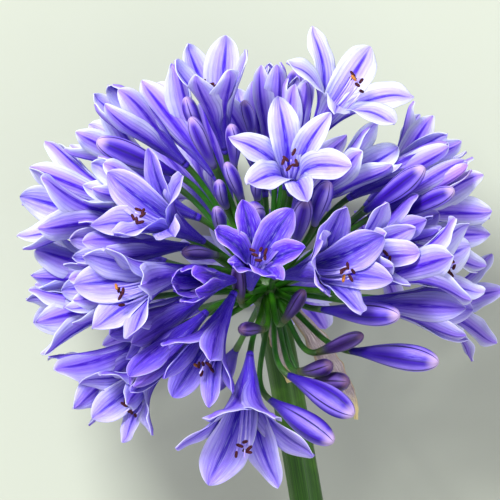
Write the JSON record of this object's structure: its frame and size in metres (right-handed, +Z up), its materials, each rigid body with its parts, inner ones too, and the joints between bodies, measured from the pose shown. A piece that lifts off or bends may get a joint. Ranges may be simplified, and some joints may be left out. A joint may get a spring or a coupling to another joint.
{
  "type": "agapanthus plant",
  "caption": "Cut flowering stem of agapanthus lying on a surface: a round head of violet-blue funnel florets and buds on thin green pedicels, at the top of a leafless scape.",
  "frame": {"origin": "on the surface the stem lies on, under the middle of the whole", "axes": "+Y along the stem from its cut end to the flower head, +Z up from the surface"},
  "size_m": [0.1986, 0.3532, 0.1765],
  "materials": {
    "petal": "satin",
    "bud": "satin",
    "stem": "satin",
    "bract": "matte"
  },
  "bodies": {
    "root": {"scape_and_pedicels": "stem", "open_floret_1": "petal", "open_floret_2": "petal", "open_floret_3": "petal", "open_floret_4": "petal", "open_floret_5": "petal", "open_floret_6": "petal", "open_floret_7": "petal", "open_floret_8": "petal", "open_floret_9": "petal", "open_floret_10": "petal", "open_floret_11": "petal", "open_floret_12": "petal", "open_floret_13": "petal", "open_floret_14": "petal", "open_floret_15": "petal", "open_floret_16": "petal", "open_floret_17": "petal", "open_floret_18": "petal", "open_floret_19": "petal", "open_floret_20": "petal", "open_floret_21": "petal", "open_floret_22": "petal", "open_floret_23": "petal", "open_floret_24": "petal", "open_floret_25": "petal", "open_floret_26": "petal", "open_floret_27": "petal", "open_floret_28": "petal", "half_open_floret_1": "petal", "half_open_floret_2": "petal", "half_open_floret_3": "petal", "half_open_floret_4": "petal", "half_open_floret_5": "petal", "half_open_floret_6": "petal", "half_open_floret_7": "petal", "half_open_floret_8": "petal", "inner_floret_1": "petal", "inner_floret_2": "petal", "resting_floret_1": "petal", "resting_floret_2": "petal", "under_floret_1": "petal", "under_floret_2": "petal", "under_floret_4": "petal", "under_floret_5": "petal", "under_floret_7": "petal", "under_floret_8": "petal", "bud_1": "bud", "bud_2": "bud", "bud_3": "bud", "bud_4": "bud", "bud_5": "bud", "bud_6": "bud", "bud_7": "bud", "bud_8": "bud", "under_bud_3": "bud", "under_bud_6": "bud", "bract_1": "bract", "bract_2": "bract"}
  },
  "joints": []
}
